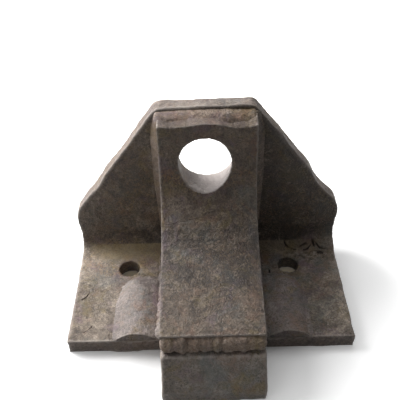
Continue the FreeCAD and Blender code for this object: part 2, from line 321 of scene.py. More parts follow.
def mark_rub_and_shade(piece, calm=None):
    """Stores how far each point stands out from its surroundings: pale where it does, for rubbed metal
    and a painted highlight, dark where it lies deep, for painted shade. calm is the share by which a
    point is spared."""
    rings, rubbed_height = 3, 0.8 * MM
    mesh = piece.data
    place, normal = surface(piece)
    ends = np.empty(len(mesh.edges) * 2, dtype=np.int64)
    mesh.edges.foreach_get("vertices", ends)
    a, b = ends.reshape(-1, 2).T
    around = np.bincount(a, minlength=len(place)) + np.bincount(b, minlength=len(place))
    soft = place.copy()
    for _ in range(rings):
        total = np.zeros_like(soft)
        for axis in range(3):
            total[:, axis] += np.bincount(a, soft[b, axis], len(place))
            total[:, axis] += np.bincount(b, soft[a, axis], len(place))
        soft = total / np.maximum(around, 1)[:, None]
    out = ((place - soft) * normal).sum(axis=1) / rubbed_height
    if calm is not None:
        out = out * (1 - calm)
    store(piece, "rub_highlight_shade", 0.5 + out)


def finish_in(piece, node_names, slot, material, calm=None):
    """Gives a piece its finish, marks its rubbed edges, painted highlights and painted shade, hangs it under
    the root and hides the parts of the design that it replaces.
    """
    mark_rub_and_shade(piece, calm=calm)
    piece.data.materials.clear()
    piece.data.materials.append(material)
    piece.data.polygons.foreach_set("use_smooth", [True] * len(piece.data.polygons))
    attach(piece, "root")
    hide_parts(*node_names)


# ---------------------------------------------------------------- materials

def linear(hex_colour):
    """sRGB hex to the linear colour that shaders take."""
    values = [int(hex_colour[i:i + 2], 16) / 255 for i in (1, 3, 5)]
    return [v / 12.92 if v <= 0.04045 else ((v + 0.055) / 1.055) ** 2.4 for v in values] + [1.0]


def add(tree, kind, links=(), **settings):
    """Adds a node, sets its sockets and properties, and links its inputs."""
    node = tree.nodes.new(kind)
    for key, value in settings.items():
        if key.startswith("in_"):
            socket = key[3:]
            node.inputs[int(socket) if socket.isdigit() else socket.replace("_", " ")].default_value = value
        elif key == "ramp":
            ramp = node.color_ramp
            for i, (at, colour) in enumerate(value):
                stop = ramp.elements[i] if i < 2 else ramp.elements.new(at)
                stop.position = at
                stop.color = colour
        else:
            setattr(node, key, value)
    for socket, source in links:
        tree.links.new(source, node.inputs[socket])
    return node


# what lies on every finish here
TORCH_SKIN = "#796b64"               # smooth reddish skin that a torch leaves on a cut face
EYE_PAINTED_LIGHT = "#d0c6c2"                 # pale grey painted light on the eye's wall
# pale rubbed metal, also a painted highlight on edges that stand out
RUBBED_METAL_AND_HIGHLIGHT = "#b8ada5"
SCALE_SPECKS = "#27221e"
YELLOW_RUST = "#a68e6a"
# pale dry soil, also standing in as painted light on the base by the fold
DUST_AND_PAINTED_LIGHT = "#b3a07a"

# tones in the oxide: colour, size of its patches in millimetres, and the most that it covers
OXIDE_TONES = (
    ("#7d6a70", 33, 0.8),
    ("#6a7170", 40, 0.5),
    ("#83724a", 27, 0.65),
    ("#876350", 19, 0.42),
)


def oxidised_steel(name, dark, mid, pale, rust, rust_share, rough):
    """Hot-rolled steel left outdoors: dark scale, brown oxide over it in patches of warm and cool
    tone, rust where it is stained, painted shade where it is kept (broken up like soot), a pale
    band of dry soil and painted light where that is kept, pale rubbed metal and a painted highlight
    where it stands out, painted shade where it lies deep, pale painted light on the eye's wall, and a
    lighter, redder skin on flame-cut faces. Oxide isn't a bare metal, so metallic is 0. It reads as
    dull, grainy and patchy."""
    material = bpy.data.materials.new(name)
    material.use_nodes = True
    tree = material.node_tree
    tree.nodes.clear()
    where = add(tree, "ShaderNodeTexCoord").outputs["Object"]

    def noise(size_mm, detail, roughness, swirl=0.0):
        return add(
            tree, "ShaderNodeTexNoise", [("Vector", where)],
            in_Scale=1000 / size_mm, in_Detail=detail, in_Roughness=roughness, in_Distortion=swirl,
        ).outputs["Fac"]

    def kept(attribute):
        return add(tree, "ShaderNodeAttribute", attribute_name=attribute).outputs["Fac"]

    def step(value, start, end, low=0.0, high=1.0):
        return add(
            tree, "ShaderNodeMapRange", [("Value", value)],
            in_From_Min=start, in_From_Max=end, in_To_Min=low, in_To_Max=high,
        ).outputs[0]

    def both(a, b, operation="MULTIPLY"):
        return add(tree, "ShaderNodeMath", [(0, a), (1, b)], operation=operation).outputs[0]

    def over(body, share, colour):
        """Lays a colour over the body where a share says."""
        return add(
            tree, "ShaderNodeMix", [("Factor", share), (6, body)], data_type="RGBA", in_7=linear(colour),
        ).outputs[2]

    def darken(body, amount):
        return add(
            tree, "ShaderNodeMix", [(6, body), (7, amount)], data_type="RGBA", blend_type="MULTIPLY",
            in_0=1.0,
        ).outputs[2]

    clouds = noise(48, 4, 0.6)
    blotches = noise(13, 5, 0.62, 0.6)
    leather = noise(4.6, 4, 0.6, 2.2)
    grit = noise(1.9, 2, 0.6, 1.0)   # real oxide grit is a few tenths of a millimetre: drawn coarser to show
    stained = kept("stained")

    tone = both(step(clouds, 0.34, 0.66, 0, 0.32), step(blotches, 0.36, 0.64, -0.02, 0.44), "ADD")
    tone = both(tone, step(leather, 0.3, 0.7, -0.06, 0.34), "ADD")
    body = add(
        tree, "ShaderNodeValToRGB", [("Fac", tone)],
        ramp=[(0.1, linear(dark)), (0.9, linear(pale)), (0.5, linear(mid))],
    ).outputs["Color"]
    for hue, size_mm, share in OXIDE_TONES:
        body = over(body, step(noise(size_mm, 5, 0.68, 0.7), 0.53, 0.66, 0, share), hue)
    dark_specks = both(step(noise(3.6, 4, 0.7, 2.4), 0.53, 0.6), step(noise(26, 3, 0.6), 0.36, 0.56))
    body = over(body, step(dark_specks, 0, 1, 0, 0.62), SCALE_SPECKS)
    blown = both(noise(16, 8, 0.72), step(stained, 0, 1, 0, 0.14), "ADD")
    rusted = both(step(blown, 0.62 - rust_share, 0.76 - rust_share), step(leather, 0.4, 0.62))
    body = over(body, step(rusted, 0, 1, 0, 0.5), rust)
    body = over(body, both(kept("burnt"), step(leather, 0.3, 0.7, 0.4, 0.75)), TORCH_SKIN)
    body = darken(body, step(grit, 0.32, 0.68, 0.74, 1.26))
    rub_light_and_shade = kept("rub_highlight_shade")
    # pale where the point stands out: rubbed metal and a painted highlight
    body = over(body, step(rub_light_and_shade, 0.58, 0.95, 0, 0.6), RUBBED_METAL_AND_HIGHLIGHT)
    # darker where the point lies deep: painted shade
    body = darken(body, step(rub_light_and_shade, 0.15, 0.46, 0.4, 1.0))
    patchy = both(step(leather, 0.34, 0.66, 1.0, 0.2), step(blotches, 0.36, 0.64, 0.7, 0.2), "ADD")
    # painted shade where the mesh keeps it, broken up in patches like soot
    body = darken(body, step(both(kept("painted_shade"), patchy), 0, 1, 1.0, 0.36))
    tan_specks = both(step(noise(5.5, 3, 0.7, 3.0), 0.53, 0.59), step(noise(19, 3, 0.6), 0.4, 0.56))
    body = over(body, both(tan_specks, step(stained, 0, 1, 0.14, 0.8)), YELLOW_RUST)
    # pale band of dry soil and painted light
    body = over(body, both(kept("dust_and_painted_light"), step(leather, 0.3, 0.7, 0.3, 1.0)), DUST_AND_PAINTED_LIGHT)
    # pale grey painted light on the eye's wall
    body = over(body, both(kept("eye_painted_light"), step(leather, 0.3, 0.7, 0.75, 1.0)), EYE_PAINTED_LIGHT)

    relief = both(leather, grit, "ADD")
    bump = add(
        tree, "ShaderNodeBump", [("Height", relief)], in_Strength=1.0, in_Distance=0.7 * MM,
    ).outputs["Normal"]
    shader = add(
        tree, "ShaderNodeBsdfPrincipled",
        [("Base Color", body), ("Roughness", step(blotches, 0.3, 0.7, rough - 0.08, rough + 0.12)),
         ("Normal", bump)],
        in_Metallic=0.0, in_IOR=1.5,
    )
    add(tree, "ShaderNodeOutputMaterial", [("Surface", shader.outputs["BSDF"])])
    return material


# mill scale on rolled plate, half weathered off: a dull grey-brown with dark and pale patches
wing_plate_steel = oxidised_steel(
    "wing_plate_mill_scale", dark="#4c4138", mid="#85786b", pale="#b8aa9b", rust="#966e4a",
    rust_share=0.03, rough=0.62)
# hot-bent bar with a thicker oxide: darker and browner, with a faint sheen
nose_steel = oxidised_steel(
    "nose_strap_brown_oxide", dark="#42362e", mid="#6e6054", pale="#998a7b", rust="#9c6a40",
    rust_share=0.02, rough=0.6)
# cast wear steel scoured by soil: greyer, smoother and a little glossier
point_steel = oxidised_steel(
    "abraded_wear_steel", dark="#5a524b", mid="#7c736a", pale="#a39a91", rust="#94663f",
    rust_share=0.0, rough=0.5)
# hammered bar under thin grey oxide: even, cool and a little paler
rib_steel = oxidised_steel(
    "rib_grey_oxide", dark="#5f5653", mid="#857b76", pale="#a29791", rust="#96683f",
    rust_share=0.0, rough=0.6)
# bare weld beads that rusted first: the warmest and roughest of the five
weld_metal = oxidised_steel(
    "rusted_weld_metal", dark="#5e5045", mid="#927f70", pale="#b29f90", rust="#9c6f45",
    rust_share=0.03, rough=0.66)


# ---------------------------------------------------------------- the pieces

def bent_plate():
    """Base slab, quarter bend, upright with flared tips and sloped shoulders."""
    half = BASE_WIDTH / 2
    plate = block("wing_plate_bent", (-half, plate_lo.y, 0), (half, FOLD_Y, PLATE))
    pick_faces(plate, lambda at, normal: normal.y > FACING)
    bpy.ops.mesh.spin(steps=10, angle=-math.pi / 2, center=(0, FOLD_Y, FOLD_Z), axis=(1, 0, 0))
    close_edit()
    pick_faces(plate, lambda at, normal: at.z > FOLD_Z - NEAR and normal.z > FACING)
    extrude((0, 0, TIP_HEIGHT - FOLD_Z))
    bpy.ops.transform.resize(value=(plate_hi.x / half, 1, 1))
    extrude((0, 0, plate_hi.z - TIP_HEIGHT))
    bpy.ops.transform.resize(value=(TOP_WIDTH / 2 / plate_hi.x, 1, 1))
    close_edit()
    clean(plate)
    for height, rise in ((TIP_HEIGHT, RIGHT_TIP_RISE), (plate_hi.z, TOP_RISE)):
        pick_points(plate, lambda at: abs(at.z - height) < NEAR and at.x > 0)
        bpy.ops.transform.translate(value=(0, 0, rise))
        close_edit()
    for height, radius in ((TIP_HEIGHT, TIP_ROUND), (plate_hi.z, TOP_ROUND)):
        pick_edges(plate, lambda a, b: -NEAR < a.z - height < RIGHT_TIP_RISE + NEAR
                   and abs(b.z - a.z) < NEAR and abs(a.x - b.x) < NEAR and abs(a.y - b.y) > NEAR)
        bpy.ops.mesh.bevel(offset=radius, segments=5, affect="EDGES")
        close_edit()
    return plate


def drill_holes(plate):
    for side, _ in SIDES:
        cut_away(plate, new_piece(
            "drill", bpy.ops.mesh.primitive_cylinder_add, vertices=48, radius=HOLE_RADIUS,
            depth=4 * PLATE, location=(side * HOLE_SPACING / 2, 0, 0)))


def cut_window(plate):
    """The opening in the upright, between the cheeks and behind the eye."""
    window = block(
        "window_tool", (2 * NOSE_X - cheek_lo.x, BACK_FRONT - PLATE, FOLD_Z),
        (cheek_lo.x, plate_hi.y + PLATE, WINDOW_TOP))
    pick_edges(window, lambda a, b: abs(a.y - b.y) > NEAR)
    bpy.ops.mesh.bevel(offset=WINDOW_ROUND, segments=5, affect="EDGES")
    close_edit()
    cut_away(plate, window)


def scoop_edges(plate):
    """Shallow hollows that the torch left in the two sloped edges."""
    drop, spread = plate_hi.z - TIP_HEIGHT, plate_hi.x - TOP_WIDTH / 2
    for side, height, bite in EDGE_SCOOPS:
        off = Vector((side * drop, 0, spread)).normalized()
        edge_x = TOP_WIDTH / 2 + (plate_hi.z - height) * spread / drop
        middle = Vector((side * edge_x, plate_hi.y, height)) + off * (SCOOP_RADIUS - bite)
        cut_away(plate, new_piece(
            "burnt_scoop", bpy.ops.mesh.primitive_cylinder_add, vertices=96, radius=SCOOP_RADIUS,
            depth=4 * PLATE, location=middle, rotation=(math.pi / 2, 0, 0)))


def crack_tool():
    """All the cracks in the base's upper face as one tool: a thin bar along each stretch, tapering off."""
    tall = 13 * MM
    bars = []
    for route, width in PLATE_CRACKS:
        for i, ((x, y), (next_x, next_y)) in enumerate(zip(route, route[1:])):
            thin = width * (1 - 0.5 * i / len(route))
            bars.append(new_piece(
                "crack_tool", bpy.ops.mesh.primitive_cube_add, size=1,
                location=((x + next_x) / 2 * MM, (y + next_y) / 2 * MM, PLATE - CRACK_DEPTH + tall / 2),
                rotation=(0, 0, math.atan2(next_y - y, next_x - x)),
                scale=((math.hypot(next_x - x, next_y - y) + thin) * MM, thin * MM, tall)))
    tool = join(bars, "crack_tool")
    even_mesh(tool, 0.45 * MM)
    return tool


def plate_painted_shade(place, rim, from_hole):
    """Painted shade on the plate: most on its upright, which is darker on the right, in holes and in
    cracks; less beside the nose and on the right front, a painted shadow of the nose; a little on
    the left base by the fold, for dirt and painted shade.
    """
    x, y, z = place.T
    outward = np.abs(x)
    foot = PLATE + 5.5 * MM
    blur = 1.5 * MM + 18 * MM * fade(outward, 98 * MM, 128 * MM)
    # painted shade on the upright, which faces away from the lamps, stronger on the right
    upright = fade(z, foot, foot + blur) * (y < plate_hi.y - 4 * MM) * np.where(x < 0, 0.6, 1.0)
    # painted shade on the walls of the bolt holes
    hole_wall = fade(from_hole, HOLE_RADIUS + 0.5 * MM, HOLE_RADIUS - 1 * MM)
    # painted shadow of the nose on the base to its right and on the base's right front
    by_nose = fade(x, strap_hi.x + 26 * MM, strap_hi.x + 8 * MM) * (x > NOSE_X)
    front_right = fade(x, 60 * MM, 100 * MM) * fade(y, 0, -70 * MM)
    # painted shade down in the cracks
    in_crack = (np.abs(z - PLATE + CRACK_DEPTH) < 1 * MM) & (outward < BASE_WIDTH / 2 - 4 * MM)
    in_crack &= (y > plate_lo.y + 4 * MM) & (from_hole > HOLE_RADIUS + 3 * MM)
    # the left base by the fold is darkened a little, for dirt and painted shade
    return np.maximum.reduce([
        upright * (1 - rim), hole_wall, by_nose * 0.35, front_right * 0.55, in_crack * 1.0,
        near_spot(place, LEFT_BASE_SHADE_AND_DIRT) * 0.3])


def plate_dust_and_light(place, rim):
    """Pale band along the foot of the upright, more of it on the left: dry soil and painted light."""
    x, y, z = place.T
    half = BASE_WIDTH / 2
    pale_band = fade(y, 8 * MM, 20 * MM) * (z < PLATE + 6.5 * MM) * (z > PLATE - 3 * MM) * (1 - rim)
    pale_band = pale_band * np.where(x < 0, 0.8, 0.3)
    return pale_band * fade(np.abs(x), half - 6 * MM, half - 26 * MM)


def wing_plate():
    """One bent plate: drilled, burnt to its outline, cracked, pitted and rusted, with painted shade and a
    pale band of dust and painted light.
    """
    plate = bent_plate()
    drill_holes(plate)
    cut_window(plate)
    scoop_edges(plate)
    even_mesh(plate, 1.4 * MM)
    cut_away(plate, crack_tool())
    place, normal = surface(plate)
    x, y, z = place.T
    from_hole = np.hypot(np.abs(x) - HOLE_SPACING / 2, y)
    by_hole = fade(from_hole, HOLE_RADIUS + 4 * MM, HOLE_RADIUS + 2 * MM)
    by_window = (np.abs(x - NOSE_X) < cheek_hi.x - NOSE_X) & (z < WINDOW_TOP + 2 * MM)
    in_fold = (y > FOLD_Y + 1 * MM) & (z < FOLD_Z) & (np.abs(normal[:, 0]) < 0.6)
    rim = np.where(z > FOLD_Z, 1 - np.abs(normal[:, 1]), 1 - np.abs(normal[:, 2]))
    rim = np.clip(rim * 1.4, 0, 1) * ~by_window * (1 - by_hole) * ~in_fold
    cut_edges = weigh(plate, "cut_edges", rim)
    pitted = weigh(plate, "pitted", near_spot(place, CORNER_PITS))
    lumps(plate, "plate_waves", 70 * MM, 1, 1.4 * MM)
    lumps(plate, "flame_cut", 26 * MM, 1, 3.4 * MM, cut_edges)
    lumps(plate, "flame_ripple", 5 * MM, 2, 0.7 * MM, cut_edges)
    lumps(plate, "corrosion_pits", 6 * MM, 3, 5 * MM, pitted)
    lumps(plate, "rolled_scale", 4.5 * MM, 4, 0.8 * MM)
    rest_on_floor(plate)
    store(plate, "burnt", rim)
    store(plate, "stained", np.maximum.reduce([
        near_spot(place, LEFT_FOLD_RUST), near_spot(place, RIGHT_WING_RUST) * 0.35,
        near_spot(place, LEFT_WING_RUST) * 0.55]))
    store(plate, "painted_shade", plate_painted_shade(place, rim, from_hole))
    store(plate, "dust_and_painted_light", plate_dust_and_light(place, rim))
    finish_in(plate, ["wing_plate"], "wing_plate_steel", wing_plate_steel, calm=np.maximum(by_hole, in_fold))


def bent_bar(name, inner, outer, half, leg, reach_y):
    """Bar along the strap's line, between two depths below its front face. half is half its width,
    leg its upper leg past the bend, and reach_y where its lower leg ends."""
    knee_z = PLATE + KNEE_RISE
    half_turn = (math.pi / 2 - STRAP_LEAN - STRAP_SLOPE) / 2
    up = Vector((0, math.sin(STRAP_LEAN), math.cos(STRAP_LEAN)))
    out = Vector((0, -math.cos(STRAP_LEAN), math.sin(STRAP_LEAN)))
    forward = Vector((0, -math.cos(STRAP_SLOPE), -math.sin(STRAP_SLOPE)))
    off = Vector((0, -math.sin(STRAP_SLOPE), math.cos(STRAP_SLOPE)))
    knee = Vector((NOSE_X, strap_front_at(knee_z), knee_z))
    bend_start = knee + up * STRAP_BEND * math.tan(half_turn)
    centre = bend_start + out * STRAP_BEND
    bar = block(name, (-half, inner, 0), (half, outer, leg))
    use(bar)
    bar.rotation_euler = (-STRAP_LEAN, 0, 0)
    bar.location = bend_start
    bpy.ops.object.transform_apply(location=True, rotation=True, scale=True)
    pick_faces(bar, lambda at, normal: normal.z < -FACING)
    bpy.ops.mesh.spin(steps=14, angle=2 * half_turn, center=centre, axis=(1, 0, 0))
    close_edit()
    bend_end = centre - off * STRAP_BEND
    end_facing = 0.98                # stricter than FACING: the bend's last faces point nearly the same way
    pick_faces(bar, lambda at, normal: normal.dot(forward) > end_facing and at.y < bend_end.y + PLATE)
    extrude(forward * ((bend_end.y - reach_y) / math.cos(STRAP_SLOPE)))
    close_edit()
    return bar


def strap_bar():
    """Flat bar bent into an upright leg and a long lower leg, thick behind the eye, its upper end
    burnt off at a bevel in a wavy line."""
    top = strap_top_front()
    strap = bent_bar(
        "nose_strap_bent", 0, PLATE, (strap_hi.x - strap_lo.x) / 2, STRAP_LEG, strap_lo.y)
    clean(strap)
    thick = block(
        "thick_back", (strap_lo.x, top.y + THICK_LAP, THICK_BOTTOM),
        (strap_hi.x, BACK_FRONT - STRAP_GAP, THICK_TOP))
    pick_faces(thick, lambda at, normal: normal.z < -FACING)
    extrude(THICK_RUNOUT)
    close_edit()
    finish_with(strap, "BOOLEAN", operation="UNION", solver="EXACT", object=thick)
    bpy.data.objects.remove(thick)
    slice_off(strap, top, (0, -math.sin(STRAP_END_BEVEL), math.cos(STRAP_END_BEVEL)))
    for x, _ in STRAP_END_WAVE:
        pick_faces(strap, lambda at, normal: True)
        bpy.ops.mesh.bisect(plane_co=(x * MM, 0, 0), plane_no=(1, 0, 0))
        close_edit()
    for x, rise in STRAP_END_WAVE:
        pick_points(strap, lambda at: abs(at.x - x * MM) < NEAR and at.z > top.z - NEAR
                    and at.y < top.y + PLATE / 2)
        bpy.ops.transform.translate(value=(0, 0, rise * MM))
        close_edit()
    return strap


def burn_eye(strap):
    """Cuts the eye as a torch does: a little tall, and wider where the flame comes out."""
    burner = new_piece(
        "eye_burner", bpy.ops.mesh.primitive_cylinder_add, vertices=64, radius=EYE_RADIUS,
        depth=2 * PLATE, location=EYE, rotation=(math.pi / 2, 0, 0))
    for facing, width, drift in ((-1, EYE_FRONT_WIDTH, 0), (1, EYE_REAR_WIDTH, EYE_DRIFT)):
        pick_faces(burner, lambda at, normal: normal.y * facing > FACING)
        bpy.ops.transform.resize(value=(width, 1, EYE_STRETCH), center_override=EYE)
        bpy.ops.transform.translate(value=(drift, 0, 0))
        close_edit()
    cut_away(strap, burner)


def nose_strap():
    """The bent bar with its eye, scale and rust, painted shade along it and painted light in the eye."""
    top = strap_top_front()
    strap = strap_bar()
    burn_eye(strap)
    even_mesh(strap, 1.15 * MM)
    place, normal = surface(strap)
    x, y, z = place.T
    end_face = fade(normal[:, 2], 0.6, 0.9) * (z > top.z - 4 * MM)
    in_eye = (np.hypot(x - EYE.x, z - EYE.z) < EYE_RADIUS * 1.16) & (np.abs(normal[:, 1]) < 0.7)
    lumps(strap, "bar_waves", 45 * MM, 1, 1.2 * MM)
    lumps(strap, "burnt_end", 14 * MM, 2, 1.2 * MM, weigh(strap, "burnt_end", end_face))
    lumps(strap, "bar_scale", 4.5 * MM, 4, 0.8 * MM)
    store(strap, "burnt", end_face * 0.7)
    store(strap, "stained", near_spot(place, BELOW_EYE_RUST))
    # painted shade along the strap: darkest on its upright leg, lighter towards the front, and lighter on
    # the left of the lower leg, where the light falls
    painted_dark = np.interp(y / MM, *zip(*STRAP_PAINTED_SHADE))
    painted_dark = painted_dark * (1 - 0.3 * fade(x, -5 * MM, -25 * MM) * (y < -30 * MM))
    painted_dark = np.where(z > 105 * MM, 0.26, painted_dark)
    store(strap, "painted_shade", painted_dark * (1 - end_face) * ~in_eye)
    # pale painted light on the eye's wall, brighter towards the right
    store(strap, "eye_painted_light", in_eye * np.clip(fade(x, EYE.x - 30 * MM, EYE.x + 2 * MM), 0.1, 1))
    finish_in(strap, ["nose_strap"], "nose_steel", nose_steel)


def strap_front_at(height):
    """Y of the upright leg's front face at a height."""
    top = strap_top_front()
    return top.y - (top.z - height) * math.tan(STRAP_LEAN)


def strap_top_front():
    """Front edge of the strap's upper end."""
    rise = PLATE * math.tan(STRAP_END_BEVEL + STRAP_LEAN)
    back_y = BACK_FRONT - STRAP_GAP
    top_y = back_y - PLATE * math.cos(STRAP_LEAN) - rise * math.tan(STRAP_LEAN)
    return Vector((NOSE_X, top_y, plate_hi.z - STRAP_TOP_DROP))


def cheek(word):
    """Flat plate under the strap, cut to the strap's curve."""
    name, node = word + "_cheek_plate", word + "_cheek"
    past = 200 * MM
    lo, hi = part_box(node)
    plate = block(name, lo, hi)
    cut_away(plate, bent_bar("curve_tool", -60 * MM, PLATE, past, past, strap_lo.y - past / 2))
    even_mesh(plate, 1.5 * MM)
    lumps(plate, name + "_waves", 30 * MM, 1, 0.8 * MM)
    lumps(plate, name + "_scale", 4 * MM, 3, 0.5 * MM)
    finish_in(plate, [node], "nose_steel", nose_steel)


def tooth_point():
    """Wedge with a blunt worn tip and a narrower tongue that reaches back under the strap."""
    lo, hi = point_lo, point_hi
    point = block("tooth_point_wedge", (lo.x, lo.y, 0), (hi.x, hi.y, hi.z))
    shoulder = Vector((0, strap_lo.y - 4 * MM, strap_lo.z + 8 * MM))
    tip = Vector((0, lo.y + 5 * MM, POINT_TIP_RISE))
    fall = (shoulder - tip).normalized()
    slice_off(point, Vector((0, hi.y, hi.z)), Vector((0, -math.sin(STRAP_SLOPE), math.cos(STRAP_SLOPE))))
    slice_off(point, tip, Vector((0, -fall.z, fall.y)))
    beside_tongue = block("tongue_tool", (-FAR, strap_lo.y, -FAR), (FAR, FAR, FAR))
    cut_away(beside_tongue, block(
        "tongue_keep", (2 * NOSE_X - cheek_hi.x, -2 * FAR, -2 * FAR), (cheek_hi.x, 2 * FAR, 2 * FAR)))
    cut_away(point, beside_tongue)
    cut_away(point, block("base_tool", (-FAR, plate_lo.y, -FAR), (FAR, FAR, PLATE)))
    even_mesh(point, 1.4 * MM)
    finish_with(point, "SMOOTH", factor=0.5, iterations=8)
    lumps(point, "battered", 28 * MM, 1, 3 * MM)
    lumps(point, "point_scale", 5 * MM, 3, 0.8 * MM)
    rest_on_floor(point)
    finish_in(point, ["tooth_point"], "point_steel", point_steel)


def swelling(name, middle, radii, front):
    """Egg lying along the base, drawn out forward from its middle to a front place."""
    egg = new_piece(
        name, bpy.ops.mesh.primitive_uv_sphere_add, segments=48, ring_count=24, radius=1,
        location=middle, scale=radii)
    pick_points(egg, lambda at: at.y < middle[1] - NEAR)
    bpy.ops.transform.translate(value=(0, front - middle[1] + radii[1], 0))
    close_edit()
    return egg


def rib(side, word):
    """Hand-shaped swelling: starts low beside the nose, curves outward and runs straight to the front.
    Only the caps of two deep eggs show, so that its flanks meet the base at a slant."""
    name, node = word + "_rib_bar", word + "_rib"
    lo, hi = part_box(node)
    middle_x = (lo.x + hi.x) / 2
    depth = 24 * MM
    past_front = lo.y - 40 * MM
    straight = swelling(
        name, (middle_x - side * 1 * MM, hi.y - 20 * MM, PLATE - depth),
        (29 * MM, 34 * MM, depth + 10 * MM), past_front)
    start = swelling(
        name, (middle_x - side * 10 * MM, hi.y - 12 * MM, PLATE - depth),
        (24 * MM, 30 * MM, depth + 6.5 * MM), past_front)
    bar = join([straight, start], name)
    even_mesh(bar, 1.5 * MM)
    finish_with(bar, "SMOOTH", factor=0.5, iterations=20)
    cut_away(bar, block("rib_front_tool", (-FAR, -FAR, -FAR), (FAR, lo.y - 2 * MM, FAR)))
    cut_away(bar, block("rib_foot_tool", (-FAR, -FAR, -FAR), (FAR, FAR, PLATE - 1.5 * MM)))
    even_mesh(bar, 1.0 * MM)
    lumps(bar, name + "_hammered", 22 * MM, 1, 1.0 * MM)
    lumps(bar, name + "_scale", 4 * MM, 4, 0.8 * MM)
    finish_in(bar, [node], "rib_steel", rib_steel)


def weld_run(name, node, route, across, thick, lean, seed, calm=4, rough=0.8 * MM, uneven=0.12,
             metal=("weld_metal", weld_metal), painted_dark=0.0):
    """Run of weld metal: overlapping puddles, each a flattened ball turned to face out of its corner,
    melted together. route is a list of (x, y, z); across and thick are half its width and height;
    lean is the way the run faces; calm is how far the puddles melt into one another; rough is the
    slag's height; uneven is how much the puddles differ; metal is a slot and its finish."""
    rng = np.random.default_rng(seed)
    lean = Vector(lean).normalized()
    pitch = 4 * MM
    puddles = []
    for begin, finish in zip(route, route[1:]):
        begin, finish = Vector(begin), Vector(finish)
        along = (finish - begin).normalized()
        side = along.cross(lean).normalized()
        turn = Matrix((side, along, side.cross(along))).transposed().to_euler()
        count = max(1, round((finish - begin).length / pitch))
        for i in range(count + 1):
            size = 1 + uneven * rng.normal()
            at = begin.lerp(finish, i / count) + lean * thick * uneven * rng.normal()
            puddles.append(new_piece(
                name, bpy.ops.mesh.primitive_ico_sphere_add, subdivisions=2, radius=1,
                location=at, rotation=turn, scale=(across * size, 1.4 * pitch, thick * size)))
    run = join(puddles, name)
    even_mesh(run, 0.9 * MM)
    finish_with(run, "SMOOTH", factor=0.5, iterations=calm)
    lumps(run, name + "_slag", 3.5 * MM, 3, rough)
    # painted shade, as much as painted_dark gives
    store(run, "painted_shade", np.full(len(run.data.vertices), painted_dark))
    finish_in(run, [node], *metal)


def nose_side_welds(side, word, seed):
    """The runs down one side of the nose."""
    top = strap_top_front()
    edge = NOSE_X + side * (strap_hi.x - NOSE_X)
    wall = NOSE_X + side * (cheek_hi.x - NOSE_X)
    rib_finish = ("rib_steel", rib_steel)

    def out(x, away):
        return x + side * away * MM

    # the wing welds get painted shade, much more on the right, where the nose shades them
    weld_run(
        word + "_wing_weld_run", word + "_wing_weld",
        [(out(edge, -3), BACK_FRONT - 3 * MM, top.z + 1 * MM),
         (out(edge, 1), BACK_FRONT - 4 * MM, top.z - 22 * MM),
         (out(edge, 1), BACK_FRONT - 4 * MM, THICK_BOTTOM),
         (out(wall, 4), BACK_FRONT - 5 * MM, FOLD_Z)],
        11 * MM, 4.6 * MM, (side, -1, 0), seed, calm=16, rough=0.4 * MM, uneven=0.03,
        painted_dark=0.1 if side < 0 else 0.75)
    weld_run(
        word + "_root_weld_run", word + "_root_weld",
        [(out(wall, 4), FOLD_Y, PLATE + 5 * MM),
         (out(wall, 5), -20 * MM, PLATE + 4 * MM),
         (out(wall, 6), plate_lo.y + 5 * MM, PLATE + 3.5 * MM)],
        12.5 * MM, 5 * MM, (side * 0.8, 0, 1), seed + 2, calm=4, rough=1.2 * MM, uneven=0.1,
        metal=rib_finish)
    weld_run(
        word + "_front_weld_run", word + "_front_weld",
        [(out(wall, 3), plate_lo.y - 3 * MM, PLATE - 1 * MM),
         (out(wall, 3), plate_lo.y - 3 * MM, 6.5 * MM)],
        7.5 * MM, 4 * MM, (side, -1, 0), seed + 4)
    weld_run(
        word + "_seam_weld_run", word + "_seam_weld", strap_line(PLATE + 1 * MM, out(wall, 1.5)),
        4.6 * MM, 3.4 * MM, (side, 0, -0.3), seed + 6)
    lo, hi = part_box(word + "_rib_weld")
    toe = hi.x if side > 0 else lo.x
    weld_run(
        word + "_rib_weld_run", word + "_rib_weld",
        [(out(toe, -20), hi.y + 20 * MM, PLATE - 1.6 * MM),
         (out(toe, -10), hi.y + 6 * MM, PLATE - 1 * MM),
         (out(toe, -6), hi.y - 16 * MM, PLATE - 0.4 * MM),
         (out(toe, -6), lo.y + 2 * MM, PLATE - 0.4 * MM)],
        9 * MM, 2.6 * MM, (side * 0.3, 0, 1), seed + 8, calm=14, rough=0.6 * MM, uneven=0.03,
        metal=rib_finish)


def nose_cross_welds():
    """The runs across the nose: upper end, window, point."""
    lo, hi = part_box("top_weld")
    corner = (hi.y - 4.5 * MM, hi.z - 7.2 * MM)
    weld_run(
        "top_weld_run", "top_weld",
        [(strap_lo.x + 2 * MM, *corner), (NOSE_X, corner[0], corner[1] + 1 * MM),
         (strap_hi.x - 5 * MM, *corner)],
        9 * MM, 3.7 * MM, (0, -0.6, 1), 31, calm=16, rough=0.8 * MM, uneven=0.03)
    lo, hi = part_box("window_weld")
    weld_run(
        "window_weld_run", "window_weld", [(lo.x, lo.y + 3 * MM, hi.z), (hi.x, lo.y + 3 * MM, hi.z)],
        4 * MM, 1.6 * MM, (0, 0.5, -1), 32)
    lo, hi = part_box("point_weld")
    middle = (lo.z + hi.z) / 2
    weld_run(
        "point_weld_run", "point_weld",
        [(lo.x + 5 * MM, hi.y - 1 * MM, middle), (hi.x - 5 * MM, hi.y - 1 * MM, middle)],
        8.5 * MM, 4 * MM, (0, -1, 0.55), 33, calm=6)


